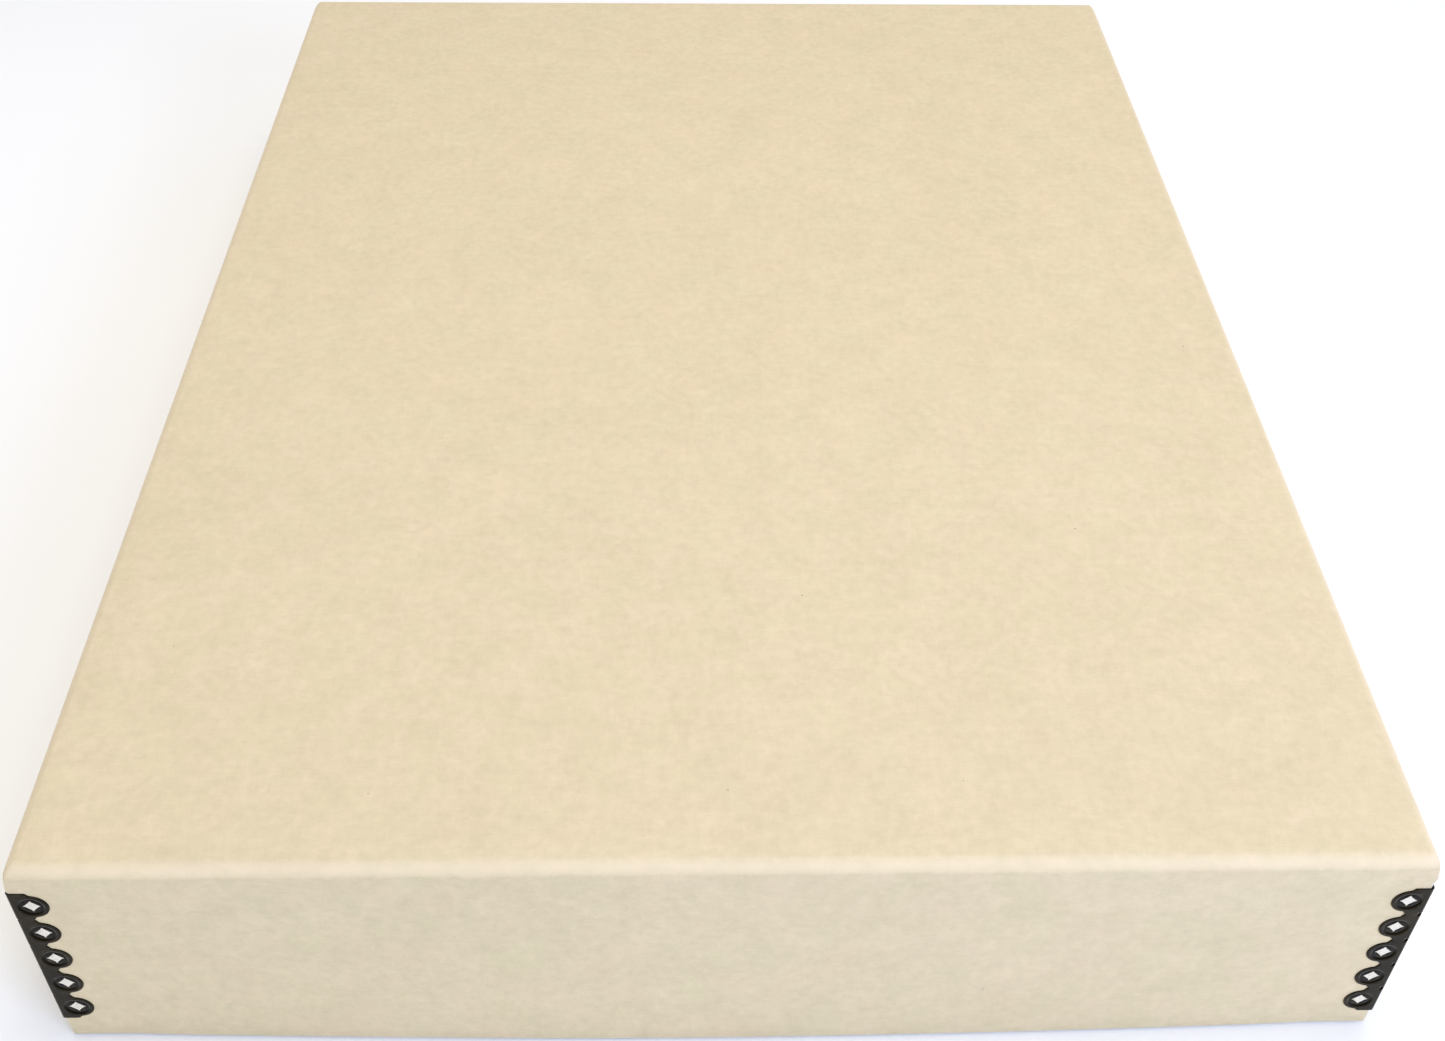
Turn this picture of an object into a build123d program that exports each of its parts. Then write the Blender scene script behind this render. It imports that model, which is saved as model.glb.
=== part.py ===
from build123d import *
import os
from math import sqrt

# Archival storage box: a full-depth lift-off lid over an open tray, each folded from one blank of board.
# Each vertical corner is held by a metal edge: a scalloped steel angle whose prongs go through the board.
# Millimetres. +Z up, origin at the centre of the tray's underside. The short walls face -Y, the front, and +Y.

# Inside of the tray, which holds a stack of 15 x 20 inch sheets, 3 inches deep, with an eighth to spare.
INCH = 25.4
inside_width = 15 * INCH
inside_length = 20 * INCH
inside_depth = 3.125 * INCH

# Board, the outer radius of its folds, and how far each wall stops short of the next one.
board = 1.5
fold_radius = 3.5
corner_gap = 0.2

# Fit of the lid over the tray.
side_clearance = 1.5
lid_seat_gap = 0.4
floor_gap = 1.0

tray_width = inside_width + 2 * board
tray_length = inside_length + 2 * board
tray_height = inside_depth + board
lid_width = tray_width + 2 * (side_clearance + board)
lid_length = tray_length + 2 * (side_clearance + board)
lid_top = tray_height + lid_seat_gap + board
lid_height = lid_top - floor_gap

# Metal edge: a row of round lobes on each wing, joined by smaller round valleys.
metal = 0.3
metal_fold_radius = 0.8
lobe_count = 5
lobe_pitch = INCH / 2
lobe_radius = 4.75
lobe_centre = 5.3
lobe_to_end = 5.8
valley_floor = 4.75
slit = 5.6
fold_slot_start = 0.2
fold_slot_width = 0.8
fold_slot_height = 1.2
stay_length = (lobe_count - 1) * lobe_pitch + 2 * lobe_to_end

# Height of each metal edge's lower end. They are set by eye, so no two are level.
stay_rise = {
    "lid_stay_front_left": 10.7,
    "lid_stay_front_right": 8.0,
    "lid_stay_back_left": 9.2,
    "lid_stay_back_right": 9.9,
    "tray_stay_front_left": 8.6,
    "tray_stay_front_right": 9.4,
    "tray_stay_back_left": 10.1,
    "tray_stay_back_right": 8.9,
}

# The valley's arc is tangent to the lobes on both sides of it and reaches down to the valley floor.
lobe_to_floor = lobe_centre - valley_floor
half_pitch = lobe_pitch / 2
valley_radius = (half_pitch**2 + lobe_to_floor**2 - lobe_radius**2) / (2 * (lobe_radius + lobe_to_floor))
valley_centre = valley_floor + valley_radius

# A cross of two slits opens into a square hole on its corner, with one triangular prong along each side.
hole_side = slit / sqrt(2)
prong_length = hole_side / 2
prong_half_width = hole_side / 2 - metal


def wall_flap(span, run, height):
    """The +X wall of a tray that is span wide and run long, with the fold that joins it to the floor."""
    outer, inner = span / 2, span / 2 - board
    fold_x = span / 2 - fold_radius
    path = Line((fold_x, 0), (fold_x, board))
    path += RadiusArc((fold_x, board), (inner, fold_radius), -(fold_radius - board))
    path += Polyline((inner, fold_radius), (inner, height), (outer, height), (outer, fold_radius))
    path += RadiusArc((outer, fold_radius), (fold_x, 0), fold_radius)
    section = Plane.XZ * make_face(path)
    folded = extrude(section, run / 2, both=True)

    # Seen from above, the fold is mitred to the next one, and the wall stops at the next wall's inner face.
    mitre_y = run / 2 - fold_radius - corner_gap
    end_y = run / 2 - board - corner_gap
    mitre_x = fold_x + end_y - mitre_y
    blank = Polyline(
        (fold_x, -mitre_y),
        (mitre_x, -end_y),
        (outer, -end_y),
        (outer, end_y),
        (mitre_x, end_y),
        (fold_x, mitre_y),
        close=True,
    )
    return folded & extrude(make_face(blank), height)


def folded_tray(width, length, height):
    """One blank, creased and folded up: a floor and four walls, open at the top."""
    flat = Rectangle(width - 2 * fold_radius, length - 2 * fold_radius)
    floor = extrude(flat, board)
    side_wall = wall_flap(width, length, height)
    end_wall = Rot(0, 0, 90) * wall_flap(length, width, height)
    half_turn = Rot(0, 0, 180)
    return floor + [side_wall, half_turn * side_wall, end_wall, half_turn * end_wall]


def wing_outline():
    """The scalloped wing, drawn flat: X runs out from the corner's outer face, Y along the corner."""
    lobes = [(lobe_centre, lobe_to_end + i * lobe_pitch) for i in range(lobe_count)]
    valleys = [(valley_centre, lobe_to_end + (i - 0.5) * lobe_pitch) for i in range(lobe_count + 1)]
    strip_width = valley_centre - metal_fold_radius
    strip = Rectangle(strip_width, stay_length, align=(Align.MIN, Align.MIN))
    outline = Pos(metal_fold_radius, 0) * strip
    outline += [Pos(*place) * Circle(lobe_radius) for place in lobes]
    outline -= [Pos(*place) * Circle(valley_radius) for place in valleys]
    outline -= [Pos(*place) * Rot(0, 0, 45) * Rectangle(hole_side, hole_side) for place in lobes]
    return outline


def lobe_prongs():
    """The four prongs of one lobe, around the Z axis, pointing down from the sheet's outer face at Z = 0."""
    corners = [(-prong_half_width, 0), (prong_half_width, 0), (0, -prong_length)]
    tooth = make_face(Polyline(*corners, close=True))
    prong = Pos(0, hole_side / 2, 0) * extrude(Plane.XZ * tooth, metal)
    return [Rot(0, 0, 45 + 90 * i) * prong for i in range(4)]


def wing():
    """One wing with its prongs, lying flat under Z = 0."""
    sheet = extrude(wing_outline(), -metal)
    prongs = []
    for i in range(lobe_count):
        lobe = Pos(lobe_centre, lobe_to_end + i * lobe_pitch, 0)
        prongs += [lobe * prong for prong in lobe_prongs()]
    return sheet + prongs


def fold_slots():
    """Cutters for the short slots that ease the fold, beside it on the +Y wing and level with the valleys."""
    cutter = extrude(Rectangle(4 * metal, fold_slot_width), fold_slot_height / 2, both=True)
    y = fold_slot_start + fold_slot_width / 2
    return [Pos(0, y, lobe_to_end + (i + 0.5) * lobe_pitch) * cutter for i in range(lobe_count - 1)]


def corner_stay():
    """A metal edge with its outer corner line on the Z axis, one wing along +X and one along +Y."""
    outer_arc = RadiusArc((0, metal_fold_radius), (metal_fold_radius, 0), metal_fold_radius)
    inner_radius = metal_fold_radius - metal
    inner_arc = RadiusArc((metal_fold_radius, metal), (metal, metal_fold_radius), -inner_radius)
    ends = Line((metal_fold_radius, 0), (metal_fold_radius, metal))
    ends += Line((metal, metal_fold_radius), (0, metal_fold_radius))
    fold = extrude(make_face(outer_arc + inner_arc + ends), stay_length)
    front_wing = Plane(origin=(0, 0, 0), x_dir=(1, 0, 0), z_dir=(0, -1, 0)) * wing()
    side_wing = mirror(front_wing, about=Plane(origin=(0, 0, 0), z_dir=(1, -1, 0)))
    return fold + [front_wing, side_wing] - fold_slots()


def stays_around(half, width, length):
    """Four metal edges around the lid or the tray, which has that outer size, each under its name."""
    stay = corner_stay()
    x, y = width / 2 + metal, length / 2 + metal
    corners = {
        "front_left": (-x, -y, 0),
        "front_right": (x, -y, 90),
        "back_right": (x, y, 180),
        "back_left": (-x, y, 270),
    }
    stays = {}
    for corner, (at_x, at_y, turn) in corners.items():
        name = f"{half}_stay_{corner}"
        stays[name] = Pos(at_x, at_y, stay_rise[name]) * Rot(0, 0, turn) * stay
    return stays


def build():
    """Every separate piece of the box, by its name."""
    lid_board = Pos(0, 0, lid_top) * Rot(180, 0, 0) * folded_tray(lid_width, lid_length, lid_height)
    pieces = {
        "tray_board": folded_tray(tray_width, tray_length, tray_height),
        "lid_board": lid_board,
    }
    pieces |= stays_around("tray", tray_width, tray_length)
    pieces |= stays_around("lid", lid_width, lid_length)
    return pieces


os.makedirs("parts", exist_ok=True)
for node, shape in build().items():
    export_step(shape, f"parts/{node}.step")
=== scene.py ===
"""Looks of the archival box: a folded board lid over a folded board tray, with metal edges at the corners.

Metres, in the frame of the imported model. Each board is one closed shell, folded, bowed and slightly wavy.
Every metal edge is one thin sheet with dished lobes, and prongs that go through the board.
"""

from math import atan2, cos, pi, radians, sin, sqrt

import bmesh
import bpy
import numpy as np
from mathutils import Matrix, Vector, noise


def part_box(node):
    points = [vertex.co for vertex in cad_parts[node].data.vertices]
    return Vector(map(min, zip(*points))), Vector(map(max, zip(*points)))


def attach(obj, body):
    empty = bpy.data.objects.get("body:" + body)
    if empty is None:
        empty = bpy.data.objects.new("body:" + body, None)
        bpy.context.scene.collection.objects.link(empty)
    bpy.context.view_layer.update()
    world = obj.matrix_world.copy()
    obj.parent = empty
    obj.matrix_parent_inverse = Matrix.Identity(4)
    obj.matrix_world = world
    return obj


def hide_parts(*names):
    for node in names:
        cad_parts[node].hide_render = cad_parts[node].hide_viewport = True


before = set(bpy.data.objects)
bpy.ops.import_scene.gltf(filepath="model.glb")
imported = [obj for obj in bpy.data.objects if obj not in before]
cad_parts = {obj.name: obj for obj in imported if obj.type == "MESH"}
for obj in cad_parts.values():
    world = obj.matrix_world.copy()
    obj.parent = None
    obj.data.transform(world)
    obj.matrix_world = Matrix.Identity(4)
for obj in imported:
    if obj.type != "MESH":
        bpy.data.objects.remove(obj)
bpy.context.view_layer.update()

MM = 0.001

# Each corner's signs of X and Y, and how far a metal edge is turned there, in degrees.
CORNERS = {
    "front_left": (-1, -1, 0),
    "front_right": (1, -1, 90),
    "back_right": (1, 1, 180),
    "back_left": (-1, 1, 270),
}

# Board. The notches between the walls close on their way to the fold, between those two heights.
BOARD = 1.5 * MM
CUT_BEVEL = 0.25 * MM
NOTCH = 0.4 * BOARD
NOTCH_CLOSES = 11.5 * MM
NOTCH_SHUT = 8.5 * MM
FOLD_SPAN = 3.9 * MM
WALL_STEP = 8 * MM
RIPPLE = 0.35 * MM

# Torn board in the metal edges' holes: rings as (share of the hole, height over the board in mm), inwards.
TORN_RINGS = [(1, -0.4), (1, -0.05), (0.8, 0.06), (0.45, 0.12)]
TORN_SIDES = 24
TORN_GRAIN = 900

# Metal edge. Distances across a wing are from the outer corner line. SEAT is the gap under the sheet.
SHEET = 0.3 * MM
SEAT = 0.01 * MM
FOLD_EDGE = 0.8 * MM
LOBES = 5
PITCH = 12.7 * MM
LOBE_RADIUS = 4.75 * MM
LOBE_CENTRE = 5.7 * MM
LOBE_TO_END = 5.8 * MM
VALLEY_FLOOR = 5.15 * MM
SLIT = 5.1 * MM
SLOT_HEIGHT = 1.3 * MM
SLOT_BITE = 0.55 * MM
ROLLED_EDGE = 0.12 * MM

# Rings of points round a lobe: circles in its dish, then shares of the way on to the wing's outline.
DISH_CIRCLES = [2.95 * MM, 3.15 * MM, 3.35 * MM, 3.55 * MM, 3.75 * MM, 3.95 * MM]
OUTLINE_SHARES = [0.4, 0.75, 0.93, 1]


# ---------------------------------------------------------------- meshes


def smoothstep(t):
    t = min(max(t, 0.0), 1.0)
    return t * t * (3 - 2 * t)


def new_object(name, points, faces, slots=None, materials=()):
    """A mesh object whose faces have the material number given in slots."""
    mesh = bpy.data.meshes.new(name)
    mesh.from_pydata([tuple(p) for p in points], [], faces)
    obj = bpy.data.objects.new(name, mesh)
    bpy.context.scene.collection.objects.link(obj)
    for material in materials:
        mesh.materials.append(material)
    if slots:
        mesh.polygons.foreach_set("material_index", slots)
    return obj


def clean(obj, merge=1e-6):
    """Merges doubled points, drops faces that have collapsed and turns every face outwards."""
    bm = bmesh.new()
    bm.from_mesh(obj.data)
    bmesh.ops.remove_doubles(bm, verts=bm.verts, dist=merge)
    bmesh.ops.dissolve_degenerate(bm, edges=bm.edges, dist=merge)
    bmesh.ops.recalc_face_normals(bm, faces=bm.faces)
    bm.to_mesh(obj.data)
    bm.free()


def shade(obj, sharp_degrees):
    """Smooth shading, but for edges sharper than that."""
    obj.data.shade_smooth()
    obj.data.set_sharp_from_angle(angle=radians(sharp_degrees))


# ---------------------------------------------------------------- boards


# Numbers of a board's materials.
OUTSIDE, INSIDE, CUT = 0, 1, 2


def fold_profile():
    """The outside of a fold from wall to panel: how much is left to go across it, and how much in height.

    The score line makes a crisp edge beside the wall. Then a slope turns softly into the panel. Each step has
    its angle from the wall and its length."""
    slopes = [(14, 0.25), (38, 0.6), (43, 1), (46, 1), (50, 1), (56, 1), (64, 1), (74, 1), (85, 1)]
    across = np.cumsum([0] + [length * sin(radians(slope)) for slope, length in slopes])
    along = np.cumsum([0] + [length * cos(radians(slope)) for slope, length in slopes])
    return 1 - across / across[-1], 1 - along / along[-1]


def stations(half):
    """Places along a wall of that half length, out to the notches at its two ends."""
    flat = half - FOLD_SPAN
    end = half - NOTCH - CUT_BEVEL
    between = (end + flat) / 2
    count = round(2 * flat / WALL_STEP)
    return np.concatenate([[-end, -between], np.linspace(-flat, flat, count + 1), [between, end]])


def plan_loops(half_x, half_y, depth):
    """The outer and the inner outline seen from above, point for point, and which outer edges are cut ones.

    The walls meet in square notches of that depth."""
    xs, ys = stations(half_x), stations(half_y)
    bevel = min(CUT_BEVEL, depth)
    notch = [(depth, bevel), (depth, depth), (bevel, depth)]
    outer, cut = [], []
    walls = [
        ([(x, -half_y) for x in xs], 1, -1, notch),
        ([(half_x, y) for y in ys], 1, 1, notch[::-1]),
        ([(x, half_y) for x in xs[::-1]], -1, 1, notch),
        ([(-half_x, y) for y in ys[::-1]], -1, -1, notch[::-1]),
    ]
    for points, sign_x, sign_y, corner in walls:
        outer += points
        cut += [False] * (len(points) - 1)
        outer += [(sign_x * (half_x - a), sign_y * (half_y - b)) for a, b in corner]
        cut += [True] * (len(corner) + 1)
    outer = np.array(outer)
    limit = np.array([half_x - BOARD, half_y - BOARD])
    return outer, np.clip(outer, -limit, limit), cut


class Board:
    """One blank of board folded into a panel at height 0 and four walls that go up from it."""

    def __init__(self, half_x, half_y, height, bows, wave):
        self.half = np.array([half_x, half_y])
        self.height = height
        self.bows = bows
        self.wave = wave
        self.outer, self.inner, self.cut = plan_loops(half_x, half_y, NOTCH)
        self.shut = plan_loops(half_x, half_y, 0.15 * NOTCH)[0]
        self.points, self.faces, self.slots, self.crease_highlight = [], [], [], []

    def ring(self, plan, across, z, span, rounding=0.0, crease_highlight=0.0):
        """Adds one loop of points. Across is the share that is left to go across the fold to the panel."""
        core = np.clip(plan, -(self.half - FOLD_SPAN), self.half - FOLD_SPAN)
        arm = plan - core
        reach = np.hypot(arm[:, 0], arm[:, 1])
        corner = (np.abs(arm) > 1e-9).all(axis=1)
        round_arm = arm * (span / np.maximum(reach, 1e-9))[:, None]
        arm[corner] += (round_arm[corner] - arm[corner]) * rounding
        placed = core + arm * across
        first = len(self.points)
        self.points += [(x, y, z) for x, y in placed]
        self.crease_highlight += [crease_highlight] * len(plan)
        return [first + i for i in range(len(plan))]

    def bridge(self, low, high, slot, cut_slot=None):
        """Faces between two loops. The notches' faces take the cut board's material."""
        for i in range(len(low)):
            j = (i + 1) % len(low)
            self.faces.append((low[i], low[j], high[j], high[i]))
            self.slots.append(cut_slot if cut_slot is not None and self.cut[i] else slot)

    def outer_skin(self):
        """The outside: the walls, from their free ends, then the folds, which carry a painted highlight, and
        the panel.
        """
        soft = FOLD_SPAN + 4 * MM
        corner_rounding = 0.45
        notched = list(np.linspace(self.height - CUT_BEVEL, NOTCH_CLOSES, 12))
        rings = []
        for z in [*notched, (NOTCH_CLOSES + NOTCH_SHUT) / 2, NOTCH_SHUT, soft, 6 * MM, FOLD_SPAN]:
            closed = smoothstep((NOTCH_CLOSES - z) / (NOTCH_CLOSES - NOTCH_SHUT))
            plan = self.outer + (self.shut - self.outer) * closed
            rounding = corner_rounding * smoothstep((soft - z) / (soft - FOLD_SPAN))
            rings.append(self.ring(plan, 1, z, FOLD_SPAN, rounding))
        for across, share in list(zip(*fold_profile()))[1:]:
            rounding = 1 - (1 - corner_rounding) * share
            # Painted highlight, strongest two thirds of the way from the panel to the wall.
            crease_highlight = 5.5 * across**2 * (1 - across)
            rings.append(self.ring(self.shut, across, FOLD_SPAN * share, FOLD_SPAN, rounding, crease_highlight))
        for i, (low, high) in enumerate(zip(rings, rings[1:])):
            self.bridge(low, high, OUTSIDE, CUT if i < len(notched) else OUTSIDE)
        self.panel(0, OUTSIDE)
        return rings[0]

    def inner_skin(self):
        """The walls' inside, their round folds and the inside of the panel."""
        span = FOLD_SPAN - BOARD
        steps = 6
        rings = []
        for z in np.linspace(self.height - CUT_BEVEL, FOLD_SPAN, 10):
            rings.append(self.ring(self.inner, 1, z, span))
        for i in range(1, steps + 1):
            turn = radians(90) * i / steps
            rings.append(self.ring(self.inner, cos(turn), FOLD_SPAN - span * sin(turn), span))
        for low, high in zip(rings, rings[1:]):
            self.bridge(high, low, INSIDE)
        self.panel(BOARD, INSIDE)
        return rings[0]

    def panel(self, z, slot):
        """The panel's grid, whose edge meets the last loop of a fold."""
        xs, ys = (stations(h)[2:-2] for h in self.half)
        first = len(self.points)
        self.points += [(x, y, z) for y in ys for x in xs]
        self.crease_highlight += [0.0] * (len(self.points) - first)
        for j in range(len(ys) - 1):
            for i in range(len(xs) - 1):
                a = first + j * len(xs) + i
                self.faces.append((a, a + 1, a + 1 + len(xs), a + len(xs)))
                self.slots.append(slot)

    def rim(self, outer_ring, inner_ring):
        """The cut edge round the walls' free ends, rounded a little on both sides.

        Its rows are at those shares of the way inwards, and that many bevels below the top."""
        rows = [outer_ring]
        for share, drop in ((0.06, 0.25), (0.2, 0.0), (0.5, -0.04), (0.8, 0.0), (0.94, 0.25)):
            plan = self.outer + (self.inner - self.outer) * share
            rows.append(self.ring(plan, 1, self.height - drop * CUT_BEVEL, FOLD_SPAN))
        rows.append(inner_ring)
        for low, high in zip(rows, rows[1:]):
            self.bridge(high, low, CUT)

    def dome(self, points, sign_x, sign_y, z, swap):
        """The torn board that swells a little into one lobe's hole, with its centre at height z."""
        first = len(points)
        count = TORN_SIDES
        half_along, half_out = self.half[::-1] if swap else self.half
        for share, out in TORN_RINGS:
            for k in range(count):
                turn = 2 * pi * k / count
                r = share * SLIT / 2 / (abs(cos(turn)) + abs(sin(turn)))
                u, v = r * cos(turn), r * sin(turn)
                rough = noise.noise(Vector((u * TORN_GRAIN, (z + v) * TORN_GRAIN, sign_x + 2 * sign_y)))
                height = (out + 0.07 * rough) * MM
                p = (half_along - (LOBE_CENTRE - SHEET + u), half_out + height)
                x, y = p[::-1] if swap else p
                points.append((sign_x * x, sign_y * y, z + v))
                self.crease_highlight.append(0.0)
        last = len(TORN_RINGS) - 1
        for ring in range(last):
            for k in range(count):
                a = first + ring * count + k
                b = first + ring * count + (k + 1) % count
                self.faces.append((a, b, b + count, a + count))
        self.faces.append(tuple(first + k for k in range(count)))
        self.faces.append(tuple(first + last * count + k for k in reversed(range(count))))
        self.slots += [CUT] * (last * count + 2)

    def bend(self, p):
        """The bow and the slight ripples of each wall towards its free end, and the panel's waves."""
        x, y, z = p
        rise = (max(z, 0) / self.height) ** 1.4
        front, back, left, right = self.bows
        along_x = self.sag(x, self.half[0])
        along_y = self.sag(y, self.half[1])
        ripple = noise.noise(Vector((x * 9, y * 9, z * 16 + 7))) * RIPPLE * min(1, z / (20 * MM))
        dy = (front if y < 0 else back) * along_x * rise + ripple * along_x
        dx = (left if x < 0 else right) * along_y * rise + ripple * along_y
        return x + (dx if x > 0 else -dx), y + (dy if y > 0 else -dy), z + self.waves(x, y, z)

    def sag(self, along, half):
        """The share of a wall's bow at a place along it: none behind the metal edges, all at the middle."""
        clear = 11 * MM
        free = max(half - clear - abs(along), 0) / (half - clear)
        return (1 - (1 - free) ** 1.7) * smoothstep(free * half / (25 * MM))

    def waves(self, x, y, z):
        """How far from flat the panel is at a place: broad waves and narrower bands, none at the walls."""
        fade = 12 * MM
        if z > fade:
            return 0.0
        edge = min(1, (self.half[0] - abs(x)) / (30 * MM)) * min(1, (self.half[1] - abs(y)) / (18 * MM))
        broad = noise.noise(Vector((x * 6, y * 8, 3.1)))
        bands = noise.noise(Vector((x * 7, y * 34, 9.4)))
        return self.wave * max(edge, 0) * (0.6 * broad + 0.5 * bands) * (1 - z / fade)

    def build(self, name, to_world, bottoms, materials):
        """The finished piece. Its three materials are for the outside, the inside and the cuts."""
        self.rim(self.outer_skin(), self.inner_skin())
        points = [to_world(self.bend(p)) for p in self.points]
        for (sign_x, sign_y), bottom in bottoms.items():
            for i in range(LOBES):
                z = bottom + LOBE_TO_END + i * PITCH
                for swap in (False, True):
                    self.dome(points, sign_x, sign_y, z, swap)
        obj = new_object(name, points, self.faces, self.slots, materials)
        # How much painted highlight each point of the folds takes.
        crease_highlight = obj.data.attributes.new("crease_highlight", "FLOAT", "POINT")
        crease_highlight.data.foreach_set("value", self.crease_highlight)
        clean(obj)
        shade(obj, 42)
        return obj


# ---------------------------------------------------------------- metal edges


def valley():
    """Radius and centre of the round valley between two lobes, tangent to both."""
    drop = LOBE_CENTRE - VALLEY_FLOOR
    radius = ((PITCH / 2) ** 2 + drop**2 - LOBE_RADIUS**2) / (2 * (LOBE_RADIUS + drop))
    return radius, VALLEY_FLOOR + radius


def ray_to_circle(direction, centre, radius):
    """How far from the origin a ray meets a circle that the origin is outside, or infinity."""
    along = direction.dot(centre)
    miss = centre.length_squared - along**2
    if along <= 0 or miss >= radius**2:
        return float("inf")
    return along - sqrt(radius**2 - miss)


def cell_reach(angle, below, above, bite):
    """From a lobe's centre to the edge of its cell, which runs below and above it along the strip.

    The bite is how far the slots beside the fold reach into the wing."""
    valley_radius, valley_centre = valley()
    d = Vector((cos(angle), sin(angle)))
    limits = []
    sides = ((d.x, FOLD_EDGE - LOBE_CENTRE, valley_centre - LOBE_CENTRE), (d.y, -below, above))
    for part, low, high in sides:
        if abs(part) > 1e-12:
            limits.append(max(low / part, high / part))
    reach = max(min(limits), LOBE_RADIUS)
    for side in (-1, 1):
        centre = Vector((valley_centre - LOBE_CENTRE, side * PITCH / 2))
        reach = min(reach, ray_to_circle(d, centre, valley_radius))
    for side, end in ((-1, below), (1, above)):
        if bite and end == PITCH / 2 and d.x < 0 < side * d.y:
            enter = max((FOLD_EDGE + bite - LOBE_CENTRE) / d.x, (PITCH - SLOT_HEIGHT) / 2 / (side * d.y))
            reach = min(reach, enter)
    return reach


def cell_angles(below, above, bite):
    """Angles at which a lobe's cell is sampled: each corner of its outline and its hole, and between them."""
    valley_radius, valley_centre = valley()
    fold_x = FOLD_EDGE - LOBE_CENTRE
    corners = [0, pi / 2, pi, -pi / 2]
    for side, end in ((-1, below), (1, above)):
        inset = PITCH / 2 - end
        edge_x = valley_centre - sqrt(valley_radius**2 - inset**2) - LOBE_CENTRE
        corners += [atan2(side * end, edge_x), atan2(side * end, fold_x)]
        corners.append(atan2(side * (PITCH - SLOT_HEIGHT) / 2, fold_x))
        corners.append(atan2(side * (PITCH - SLOT_HEIGHT) / 2, fold_x + bite))
        corners.append(atan2(side * end, fold_x + bite))
        corners.append(atan2(side * PITCH / 2, valley_centre - LOBE_CENTRE + valley_radius * 0.2))
    corners = sorted({round(a % (2 * pi), 9) for a in corners})
    angles = []
    for a, b in zip(corners, corners[1:] + [corners[0] + 2 * pi]):
        count = max(1, round((b - a) / radians(5)))
        angles += [a + (b - a) * i / count for i in range(count)]
    return angles


def relief(rho):
    """Height of the sheet's face over the board, that far from a lobe's centre: a dish in a soft rim."""
    dish = [(2.0, 0.2), (2.5, 0.17), (2.9, 0.1), (3.15, 0.1)]
    rim = [(3.4, 0.2), (3.65, 0.36), (3.95, 0.42), (4.4, 0.36)]
    return float(np.interp(rho / MM, *zip(*dish, *rim))) * MM


def cell_radii(angle, below, above, bite):
    """Where a cell's rings lie at that angle, from the square hole through the round dish to the outline."""
    hole = SLIT / 2 / (abs(cos(angle)) + abs(sin(angle)))
    reach = cell_reach(angle, below, above, bite)
    inner, outer = DISH_CIRCLES[0], DISH_CIRCLES[-1]
    outside = [outer + (reach - outer) * share for share in OUTLINE_SHARES]
    return [hole, hole + (inner - hole) * 0.3, *DISH_CIRCLES, *outside]


def lobe_cells():
    """Each lobe's height along the strip, and how far its cell runs below and above it."""
    cells = []
    for i in range(LOBES):
        below = LOBE_TO_END if i == 0 else PITCH / 2
        above = LOBE_TO_END if i == LOBES - 1 else PITCH / 2
        cells.append((LOBE_TO_END + i * PITCH, below, above))
    return cells


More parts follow.
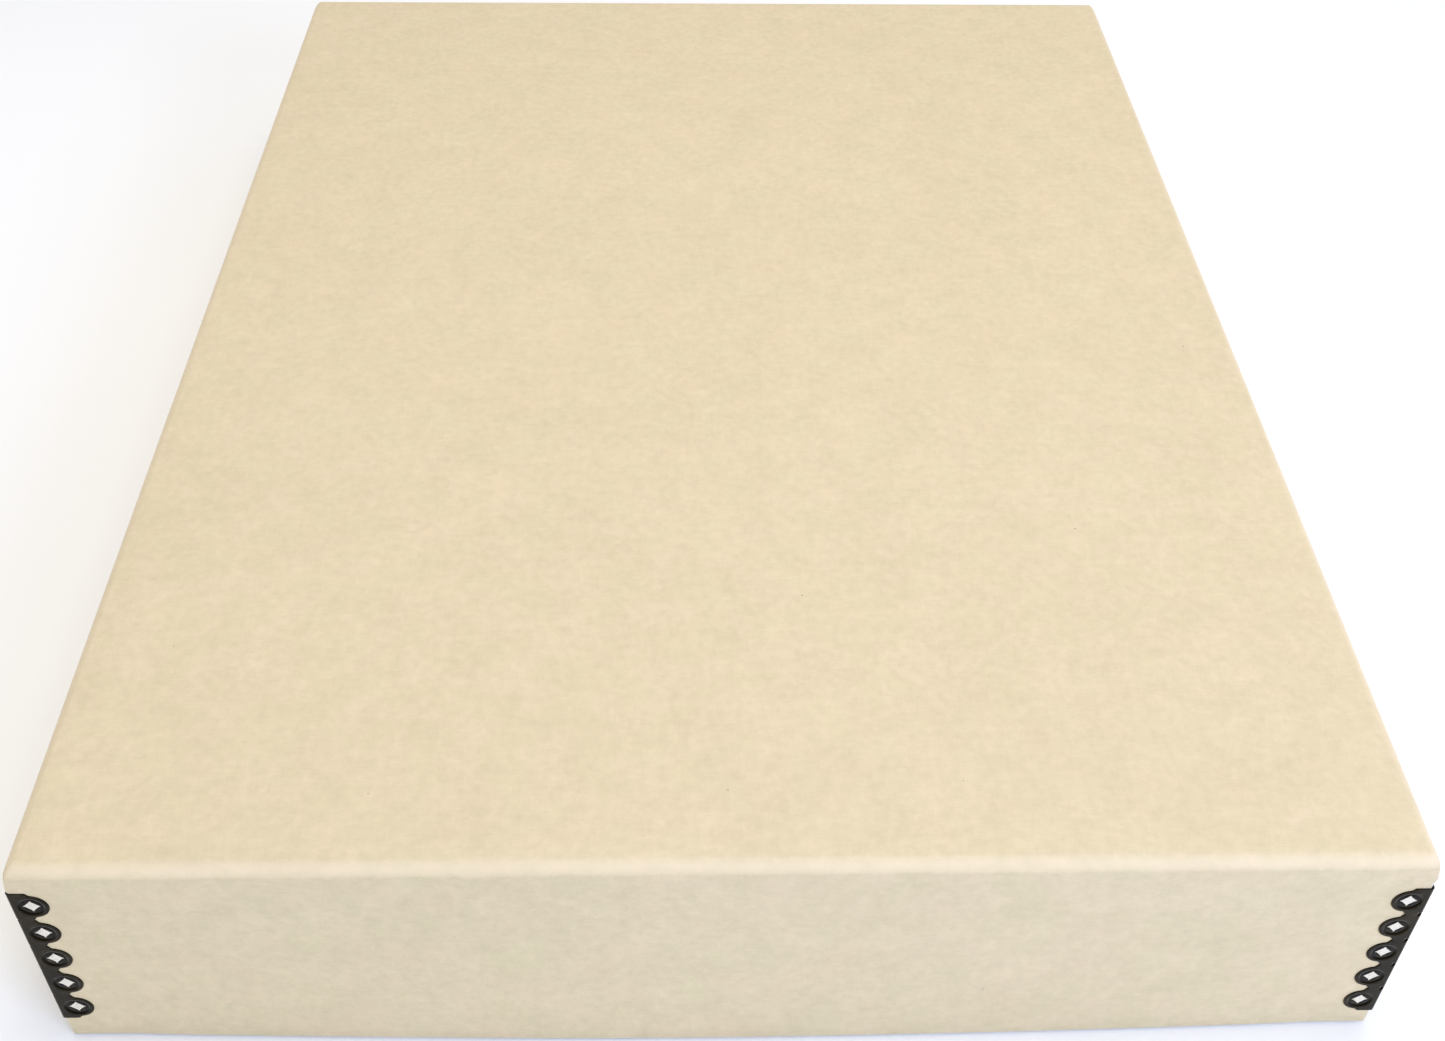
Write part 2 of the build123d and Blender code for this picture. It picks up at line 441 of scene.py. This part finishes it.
class Stay:
    """A metal edge with its outer corner line on the Z axis and its wings along +X and +Y.

    The sheet's upper face is drawn first, each point with its lower twin, and closed afterwards."""

    def __init__(self):
        self.top, self.low, self.depth, self.faces = [], [], [], []
        self.points, self.closed_faces, self.recess_shade = [], [], []

    def on_wing(self, u, v, w, swap):
        """From distance across the wing, height and distance over the board's face, to a point."""
        p = (u, SHEET - w, v)
        return (p[1], p[0], p[2]) if swap else p

    def add(self, u, v, w, swap, depth):
        """Adds a point of the sheet and its twin, which lies on the board. Depth is 1 deep in a dish, where
        it sets the painted shade.
        """
        self.top.append(self.on_wing(u, v, w, swap))
        self.low.append(self.on_wing(u, v, SEAT, swap))
        self.depth.append(depth)
        return len(self.top) - 1

    def cell(self, centre_v, below, above, swap):
        """One lobe's part of a wing. Its free outline is rolled down a little towards the board."""
        bite = SLOT_BITE if swap else 0
        angles = cell_angles(below, above, bite)
        columns = [cell_radii(a, below, above, bite) for a in angles]
        outline = len(columns[0]) - 1
        rings = []
        for k, radii in enumerate(zip(*columns)):
            ring = []
            for a, r in zip(angles, radii):
                u, v = LOBE_CENTRE + r * cos(a), r * sin(a)
                free = u > FOLD_EDGE + 1e-6 and (abs(v) < min(below, above) - 1e-6 or u > VALLEY_FLOOR)
                w = relief(r)
                if k == outline and free:
                    w -= ROLLED_EDGE
                # How much painted shade the steel takes: all of it deep in the dish, none on its rim.
                depth = smoothstep((3.75 * MM - r) / (0.6 * MM))
                ring.append(self.add(u, centre_v + v, w, swap, depth))
            rings.append(ring)
        for low, high in zip(rings, rings[1:]):
            for i in range(len(low)):
                j = (i + 1) % len(low)
                self.faces.append((low[i], high[i], high[j], low[j]))

    def fold(self, heights):
        """The rounded fold between the wings, with a short slot level with each valley.

        A slot starts part of the way round the fold and runs on into the wing along +Y."""
        lift = relief(LOBE_CENTRE - FOLD_EDGE) - SHEET
        radius = FOLD_EDGE + lift
        inner = FOLD_EDGE - SHEET
        steps, first_cut_step = 8, 2
        columns = []
        for i in range(steps + 1):
            turn = radians(90) * i / steps
            x, y = cos(turn), sin(turn)
            column = []
            for v in heights:
                self.top.append((FOLD_EDGE - radius * y, FOLD_EDGE - radius * x, v))
                self.low.append((FOLD_EDGE - inner * y, FOLD_EDGE - inner * x, v))
                self.depth.append(0.0)
                column.append(len(self.top) - 1)
            columns.append(column)
        slots = [LOBE_TO_END + (i + 0.5) * PITCH for i in range(LOBES - 1)]
        for i, (a, b) in enumerate(zip(columns, columns[1:])):
            for j in range(len(heights) - 1):
                middle = (heights[j] + heights[j + 1]) / 2
                if i >= first_cut_step and any(abs(middle - s) < SLOT_HEIGHT / 2 for s in slots):
                    continue
                self.faces.append((a[j], a[j + 1], b[j + 1], b[j]))

    def prong(self, centre_v, quarter, swap):
        """One bent prong: from the hole's side it curls down and goes through the board to a point."""
        outwards = Vector((cos(quarter), sin(quarter)))
        sideways = Vector((-outwards.y, outwards.x))
        side = SLIT / 2 / sqrt(2)
        root, overlap, thick = 0.2 * MM, 0.12 * MM, 0.24 * MM
        curl = 0.6 * MM
        taper = side + 0.45 * MM
        path = []
        for turn in [pi / 2 * i / 5 for i in range(6)]:
            path.append((curl * sin(turn), curl * (1 - cos(turn)), turn, curl * turn))
        for d in (0.4 * MM, 0.8 * MM, 1.1 * MM):
            path.append((curl, curl + d, pi / 2, curl * pi / 2 + d))
        rows = []
        for inward, down, turn, run in path:
            half = side * 0.74 * max(1 - run / taper, 0.03)
            for across, deep in ((-half, 0), (half, 0), (half, thick), (-half, thick)):
                out = side + overlap - inward + deep * sin(turn)
                at = outwards * out + sideways * across
                w = root - down - deep * cos(turn)
                rows.append(self.on_wing(LOBE_CENTRE + at.x, centre_v + at.y, w, swap))
        first = len(self.points)
        self.points += rows
        # The prongs take the painted shade in full.
        self.recess_shade += [1.0] * len(rows)
        count = len(path)
        for r in range(count - 1):
            for c in range(4):
                d = (c + 1) % 4
                a = first + 4 * r
                self.closed_faces.append((a + c, a + d, a + 4 + d, a + 4 + c))
        self.closed_faces.append(tuple(first + c for c in (3, 2, 1, 0)))
        self.closed_faces.append(tuple(first + 4 * (count - 1) + c for c in range(4)))

    def sheet(self):
        """Closes the sheet: its two faces, and walls along every free edge."""
        bm = bmesh.new()
        layer = bm.verts.layers.int.new("twin")
        verts = [bm.verts.new(p) for p in self.top]
        for i, v in enumerate(verts):
            v[layer] = i
        for f in self.faces:
            bm.faces.new([verts[i] for i in f])
        bmesh.ops.remove_doubles(bm, verts=bm.verts, dist=1e-6)
        bm.verts.index_update()
        kept = [v[layer] for v in bm.verts]
        top_faces = [[v.index for v in f.verts] for f in bm.faces]
        rims = []
        for e in bm.edges:
            if e.is_boundary:
                loop = e.link_loops[0]
                rims.append((loop.vert.index, loop.link_loop_next.vert.index))
        first = len(self.points)
        count = len(kept)
        self.points += [tuple(v.co) for v in bm.verts] + [self.low[k] for k in kept]
        self.recess_shade += [self.depth[k] for k in kept] * 2
        bm.free()
        self.closed_faces += [tuple(first + i for i in f) for f in top_faces]
        self.closed_faces += [tuple(first + count + i for i in reversed(f)) for f in top_faces]
        self.closed_faces += [(first + b, first + a, first + count + a, first + count + b) for a, b in rims]

    def build(self, material):
        """The finished mesh, which all the metal edges share."""
        for swap in (False, True):
            for v, below, above in lobe_cells():
                self.cell(v, below, above, swap)
                for q in range(4):
                    self.prong(v, radians(45 + 90 * q), swap)
        self.fold(self.fold_heights())
        self.sheet()
        obj = new_object("stay", self.points, self.closed_faces, materials=[material])
        # Painted shade for each point, read by the steel's material.
        recess_shade = obj.data.attributes.new("recess_shade", "FLOAT", "POINT")
        recess_shade.data.foreach_set("value", self.recess_shade)
        clean(obj, 2e-7)
        shade(obj, 50)
        mesh = obj.data
        bpy.data.objects.remove(obj)
        return mesh

    def fold_heights(self):
        """The heights at which the cells meet the fold, so that both are sampled alike."""
        heights = set()
        for v, below, above in lobe_cells():
            for a in cell_angles(below, above, 0):
                r = cell_reach(a, below, above, 0)
                if abs(LOBE_CENTRE + r * cos(a) - FOLD_EDGE) < 1e-7:
                    heights.add(round(v + r * sin(a), 7))
        return sorted(heights)


# ---------------------------------------------------------------- materials


class Nodes:
    """Short calls for building one node material."""

    def __init__(self, name):
        self.material = bpy.data.materials.new(name)
        self.material.use_nodes = True
        self.tree = self.material.node_tree
        self.shader = self.tree.nodes["Principled BSDF"]
        self.object_coords = self.tree.nodes.new("ShaderNodeTexCoord").outputs["Object"]

    def link(self, source, target):
        self.tree.links.new(source, target)

    def stretched(self, scale):
        n = self.tree.nodes.new("ShaderNodeMapping")
        n.inputs["Scale"].default_value = scale
        self.link(self.object_coords, n.inputs["Vector"])
        return n.outputs["Vector"]

    def noise(self, scale, detail, coords=None, distortion=0.0):
        n = self.tree.nodes.new("ShaderNodeTexNoise")
        n.inputs["Scale"].default_value = scale
        n.inputs["Detail"].default_value = detail
        n.inputs["Roughness"].default_value = 0.55
        n.inputs["Distortion"].default_value = distortion
        self.link(coords or self.object_coords, n.inputs["Vector"])
        return n.outputs["Fac"]

    def attribute(self, name):
        n = self.tree.nodes.new("ShaderNodeAttribute")
        n.attribute_name = name
        return n.outputs["Fac"]

    def math(self, operation, a, b):
        n = self.tree.nodes.new("ShaderNodeMath")
        n.operation = operation
        for value, socket in ((a, n.inputs[0]), (b, n.inputs[1])):
            if isinstance(value, (int, float)):
                socket.default_value = value
            else:
                self.link(value, socket)
        return n.outputs[0]

    def weighted(self, parts):
        """Sum of the sources, each times its weight."""
        total = None
        for source, weight in parts:
            term = self.math("MULTIPLY", source, weight)
            total = term if total is None else self.math("ADD", total, term)
        return total

    def ramp(self, source, stops):
        n = self.tree.nodes.new("ShaderNodeValToRGB")
        while len(n.color_ramp.elements) < len(stops):
            n.color_ramp.elements.new(0.5)
        for element, (place, colour) in zip(n.color_ramp.elements, stops):
            element.position = place
            element.color = (*colour, 1)
        self.link(source, n.inputs["Fac"])
        return n.outputs["Color"]

    def mix(self, factor, a, b, blend="MIX"):
        n = self.tree.nodes.new("ShaderNodeMix")
        n.data_type = "RGBA"
        n.blend_type = blend
        for value, socket in ((factor, n.inputs["Factor"]), (a, n.inputs[6]), (b, n.inputs[7])):
            if isinstance(value, bpy.types.NodeSocket):
                self.link(value, socket)
            elif isinstance(value, tuple):
                socket.default_value = (*value, 1)
            else:
                socket.default_value = value
        return n.outputs[2]

    def bump(self, height, distance, strength):
        n = self.tree.nodes.new("ShaderNodeBump")
        n.inputs["Distance"].default_value = distance
        n.inputs["Strength"].default_value = strength
        self.link(height, n.inputs["Height"])
        self.link(n.outputs["Normal"], self.shader.inputs["Normal"])

    def specks(self, scale, size, share):
        """1 on small round specks, in that share of the cells of a Voronoi pattern."""
        n = self.tree.nodes.new("ShaderNodeTexVoronoi")
        n.inputs["Scale"].default_value = scale
        self.link(self.object_coords, n.inputs["Vector"])
        split = self.tree.nodes.new("ShaderNodeSeparateColor")
        self.link(n.outputs["Color"], split.inputs["Color"])
        near = self.math("LESS_THAN", n.outputs["Distance"], size)
        chosen = self.math("LESS_THAN", split.outputs["Red"], share)
        return self.math("MULTIPLY", near, chosen)


def board_paper(name, shadow, light, speck_share):
    """The board's faced paper: mottled, fibrous, with a few specks, a felt-like tooth and a painted highlight
    along the creases.
    """
    m = Nodes(name)
    fibres_a = m.noise(1, 4, m.stretched((190, 1000, 700)), distortion=1.6)
    fibres_b = m.noise(1, 4, m.stretched((900, 170, 600)), distortion=1.6)
    mottle = m.weighted([
        (m.noise(14, 3), 0.08),
        (m.noise(90, 3), 0.21),
        (m.noise(300, 4), 0.31),
        (fibres_a, 0.22),
        (fibres_b, 0.18),
    ])
    colour = m.ramp(mottle, [(0.3, shadow), (0.7, light)])
    blush = m.ramp(m.noise(75, 3), [(0.35, (0.985, 1.0, 0.985)), (0.65, (1.013, 0.997, 1.008))])
    colour = m.mix(1.0, colour, blush, "MULTIPLY")
    fleck = m.specks(120, 0.035, speck_share)
    colour = m.mix(m.math("MULTIPLY", fleck, 0.7), colour, tuple(c * 0.4 for c in shadow))
    # Painted highlight along the folds: paler and a little cooler than the board.
    crease_highlight = m.math("MULTIPLY", m.attribute("crease_highlight"), m.math("ADD", m.noise(120, 3), 0.3))
    paler = tuple(min(1, c * k) for c, k in zip(light, (1.09, 1.07, 1.11)))
    colour = m.mix(crease_highlight, colour, paler)
    m.link(colour, m.shader.inputs["Base Color"])
    rough = m.math("MULTIPLY", m.noise(240, 4), 0.22)
    m.link(m.math("ADD", rough, 0.6), m.shader.inputs["Roughness"])
    m.shader.inputs["Specular IOR Level"].default_value = 0.3
    tooth = m.weighted([
        (m.noise(1400, 4), 0.35),
        (m.noise(520, 3), 0.5),
        (fibres_a, 0.4),
        (fibres_b, 0.35),
    ])
    m.bump(tooth, 0.00012, 0.5)
    return m.material


def cut_board():
    """The board's cut edge: paler pressed layers, a little ragged."""
    m = Nodes("cut_board")
    layers = m.noise(1, 3, m.stretched((700, 700, 2600)))
    pulp = m.noise(900, 5)
    creams = [(0.35, (0.66, 0.58, 0.46)), (0.5, (0.78, 0.72, 0.61)), (0.66, (0.86, 0.82, 0.73))]
    colour = m.ramp(m.weighted([(layers, 0.6), (pulp, 0.4)]), creams)
    m.link(colour, m.shader.inputs["Base Color"])
    m.shader.inputs["Roughness"].default_value = 0.92
    m.shader.inputs["Specular IOR Level"].default_value = 0.2
    m.bump(m.weighted([(layers, 0.5), (pulp, 0.5)]), 0.0002, 0.8)
    return m.material


def lacquered_steel():
    """Dark bronze lacquer on steel, with painted shade that makes it nearly black in the dishes and on the
    prongs, and rubbed brown on the rims, partly wear and partly painted highlight.
    """
    m = Nodes("lacquered_steel")
    cloud = m.noise(70, 4)
    grain = m.noise(1700, 3)
    browns = [(0.36, (0.008, 0.006, 0.002)), (0.5, (0.015, 0.011, 0.004)), (0.66, (0.032, 0.025, 0.013))]
    colour = m.ramp(m.weighted([(cloud, 0.7), (grain, 0.3)]), browns)
    # Painted shade: the dishes and prongs are mixed towards near black.
    colour = m.mix(m.math("MULTIPLY", m.attribute("recess_shade"), 0.85), colour, (0.003, 0.002, 0.001))
    # Convex rims rubbed paler in patches: partly wear, partly painted highlight.
    geometry = m.tree.nodes.new("ShaderNodeNewGeometry")
    edge = m.ramp(geometry.outputs["Pointiness"], [(0.52, (0, 0, 0)), (0.6, (1, 1, 1))])
    patches = m.ramp(m.noise(420, 4), [(0.5, (0, 0, 0)), (0.68, (1, 1, 1))])
    rim_wear_and_highlight = m.math("MULTIPLY", edge, patches)
    colour = m.mix(m.math("MULTIPLY", rim_wear_and_highlight, 0.5), colour, (0.12, 0.095, 0.065))
    m.link(colour, m.shader.inputs["Base Color"])
    m.shader.inputs["Metallic"].default_value = 1.0
    rough = m.math("ADD", m.math("MULTIPLY", m.noise(260, 4), 0.3), 0.2)
    m.link(rough, m.shader.inputs["Roughness"])
    m.bump(m.weighted([(grain, 0.35), (m.noise(330, 3), 0.65)]), 0.00004, 0.7)
    return m.material


def floor_material():
    """A matt white table top with the faintest mottling."""
    m = Nodes("studio_floor")
    colour = m.ramp(m.noise(3, 3), [(0.3, (0.945, 0.945, 0.95)), (0.7, (0.965, 0.965, 0.97))])
    m.link(colour, m.shader.inputs["Base Color"])
    m.shader.inputs["Roughness"].default_value = 0.9
    m.shader.inputs["Specular IOR Level"].default_value = 0.1
    return m.material


# ---------------------------------------------------------------- pieces


def stay_bottoms(body):
    """The height at which each of a body's metal edges starts, by the signs of its corner."""
    return {(x, y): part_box(f"{body}_stay_{corner}")[0].z for corner, (x, y, _) in CORNERS.items()}


def make_board(body, bows, wave, to_world, materials):
    """One body's board, with its walls' bows from front to right in mm and its panel's waves."""
    low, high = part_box(f"{body}_board")
    board = Board(high.x, high.y, high.z - low.z, [bow * MM for bow in bows], wave)
    piece = board.build(f"{body}_shell", to_world, stay_bottoms(body), materials)
    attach(piece, body)
    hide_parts(f"{body}_board")


def make_boards(paper, lining, cut):
    """The tray's board as it is drawn, and the lid's turned over."""
    lid_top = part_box("lid_board")[1].z
    materials = [paper, lining, cut]
    make_board("tray", (0.7, 0.9, 0.8, 0.6), 0.0, lambda p: p, materials)
    make_board("lid", (3.2, 2.4, 2.6, 2.2), 0.35 * MM, lambda p: (p[0], p[1], lid_top - p[2]), materials)


def make_stays(steel):
    """One metal edge at each corner of the tray and the lid, with its corner line where the CAD has it."""
    mesh = Stay().build(steel)
    for body in ("tray", "lid"):
        for corner, (sign_x, sign_y, turn) in CORNERS.items():
            node = f"{body}_stay_{corner}"
            low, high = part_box(node)
            piece = bpy.data.objects.new(f"{body}_metal_edge_{corner}", mesh)
            bpy.context.scene.collection.objects.link(piece)
            corner_x = high.x if sign_x > 0 else low.x
            corner_y = high.y if sign_y > 0 else low.y
            to_corner = Matrix.Translation((corner_x, corner_y, low.z))
            piece.matrix_world = to_corner @ Matrix.Rotation(radians(turn), 4, "Z")
            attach(piece, body)
            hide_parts(node)


# ---------------------------------------------------------------- stage


def add_light(name, place, aim, size, power, colour):
    """A rectangular light at a place, turned towards its aim."""
    data = bpy.data.lights.new(name, "AREA")
    data.shape = "RECTANGLE"
    data.size, data.size_y = size
    data.energy = power
    data.color = colour
    light = bpy.data.objects.new(name, data)
    bpy.context.scene.collection.objects.link(light)
    light.location = place
    light.rotation_euler = (Vector(aim) - Vector(place)).to_track_quat("-Z", "Y").to_euler()


def make_floor():
    """A flat top so wide that it looks endless."""
    half = 20.0
    steps = 40
    line = [half * (2 * i / steps - 1) for i in range(steps + 1)]
    points = [(x, y, 0) for y in line for x in line]
    faces = []
    for j in range(steps):
        for i in range(steps):
            a = j * (steps + 1) + i
            faces.append((a, a + 1, a + steps + 2, a + steps + 1))
    floor = new_object("floor", points, faces, materials=[floor_material()])


def make_stage():
    """The floor, even light from all round, a warm light overhead and a cool one from the front right."""
    make_floor()
    add_world()
    add_light("key", (0.14, 0.0, 1.2), (0.07, 0.05, 0.08), (0.8, 0.7), 5.8, (1.0, 0.92, 0.80))
    add_light("front_fill", (0.8, -1.1, 0.75), (0.05, -0.24, 0.04), (0.6, 0.5), 10.2, (0.53, 0.66, 1.0))
    bpy.context.scene.view_settings.view_transform = "Standard"


def add_world():
    """Even light from all round, a little cooler towards the horizon."""
    world = bpy.data.worlds.new("studio")
    bpy.context.scene.world = world
    world.use_nodes = True
    tree = world.node_tree
    coords = tree.nodes.new("ShaderNodeTexCoord")
    split = tree.nodes.new("ShaderNodeSeparateXYZ")
    ramp = tree.nodes.new("ShaderNodeValToRGB")
    horizon, zenith = ramp.color_ramp.elements
    horizon.position, horizon.color = 0.0, (0.685, 0.72, 0.785, 1)
    zenith.position, zenith.color = 0.9, (0.72, 0.72, 0.72, 1)
    tree.links.new(coords.outputs["Generated"], split.inputs["Vector"])
    tree.links.new(split.outputs["Z"], ramp.inputs["Fac"])
    tree.links.new(ramp.outputs["Color"], tree.nodes["Background"].inputs["Color"])


def make_camera():
    """In front of the box and above it, looking down along it."""
    data = bpy.data.cameras.new("camera")
    data.sensor_width = 36
    data.lens = 41.38
    data.shift_y = -0.0249
    data.clip_start, data.clip_end = 0.02, 30
    camera = bpy.data.objects.new("camera", data)
    bpy.context.scene.collection.objects.link(camera)
    pitch, yaw, roll = radians(41.847), radians(1.754), radians(1.033)
    tilt = Matrix.Rotation(pi / 2 - pitch, 4, "X") @ Matrix.Rotation(roll, 4, "Z")
    turn = Matrix.Rotation(-yaw, 4, "Z") @ tilt
    camera.matrix_world = Matrix.Translation((-0.01166, -0.52203, 0.45691)) @ turn
    bpy.context.scene.camera = camera


make_camera()
make_stage()
tan = board_paper("tan_board", (0.593, 0.496, 0.324), (0.763, 0.646, 0.440), 0.04)
cream = board_paper("lining_board", (0.72, 0.66, 0.54), (0.88, 0.83, 0.72), 0.03)
make_boards(tan, cream, cut_board())
make_stays(lacquered_steel())
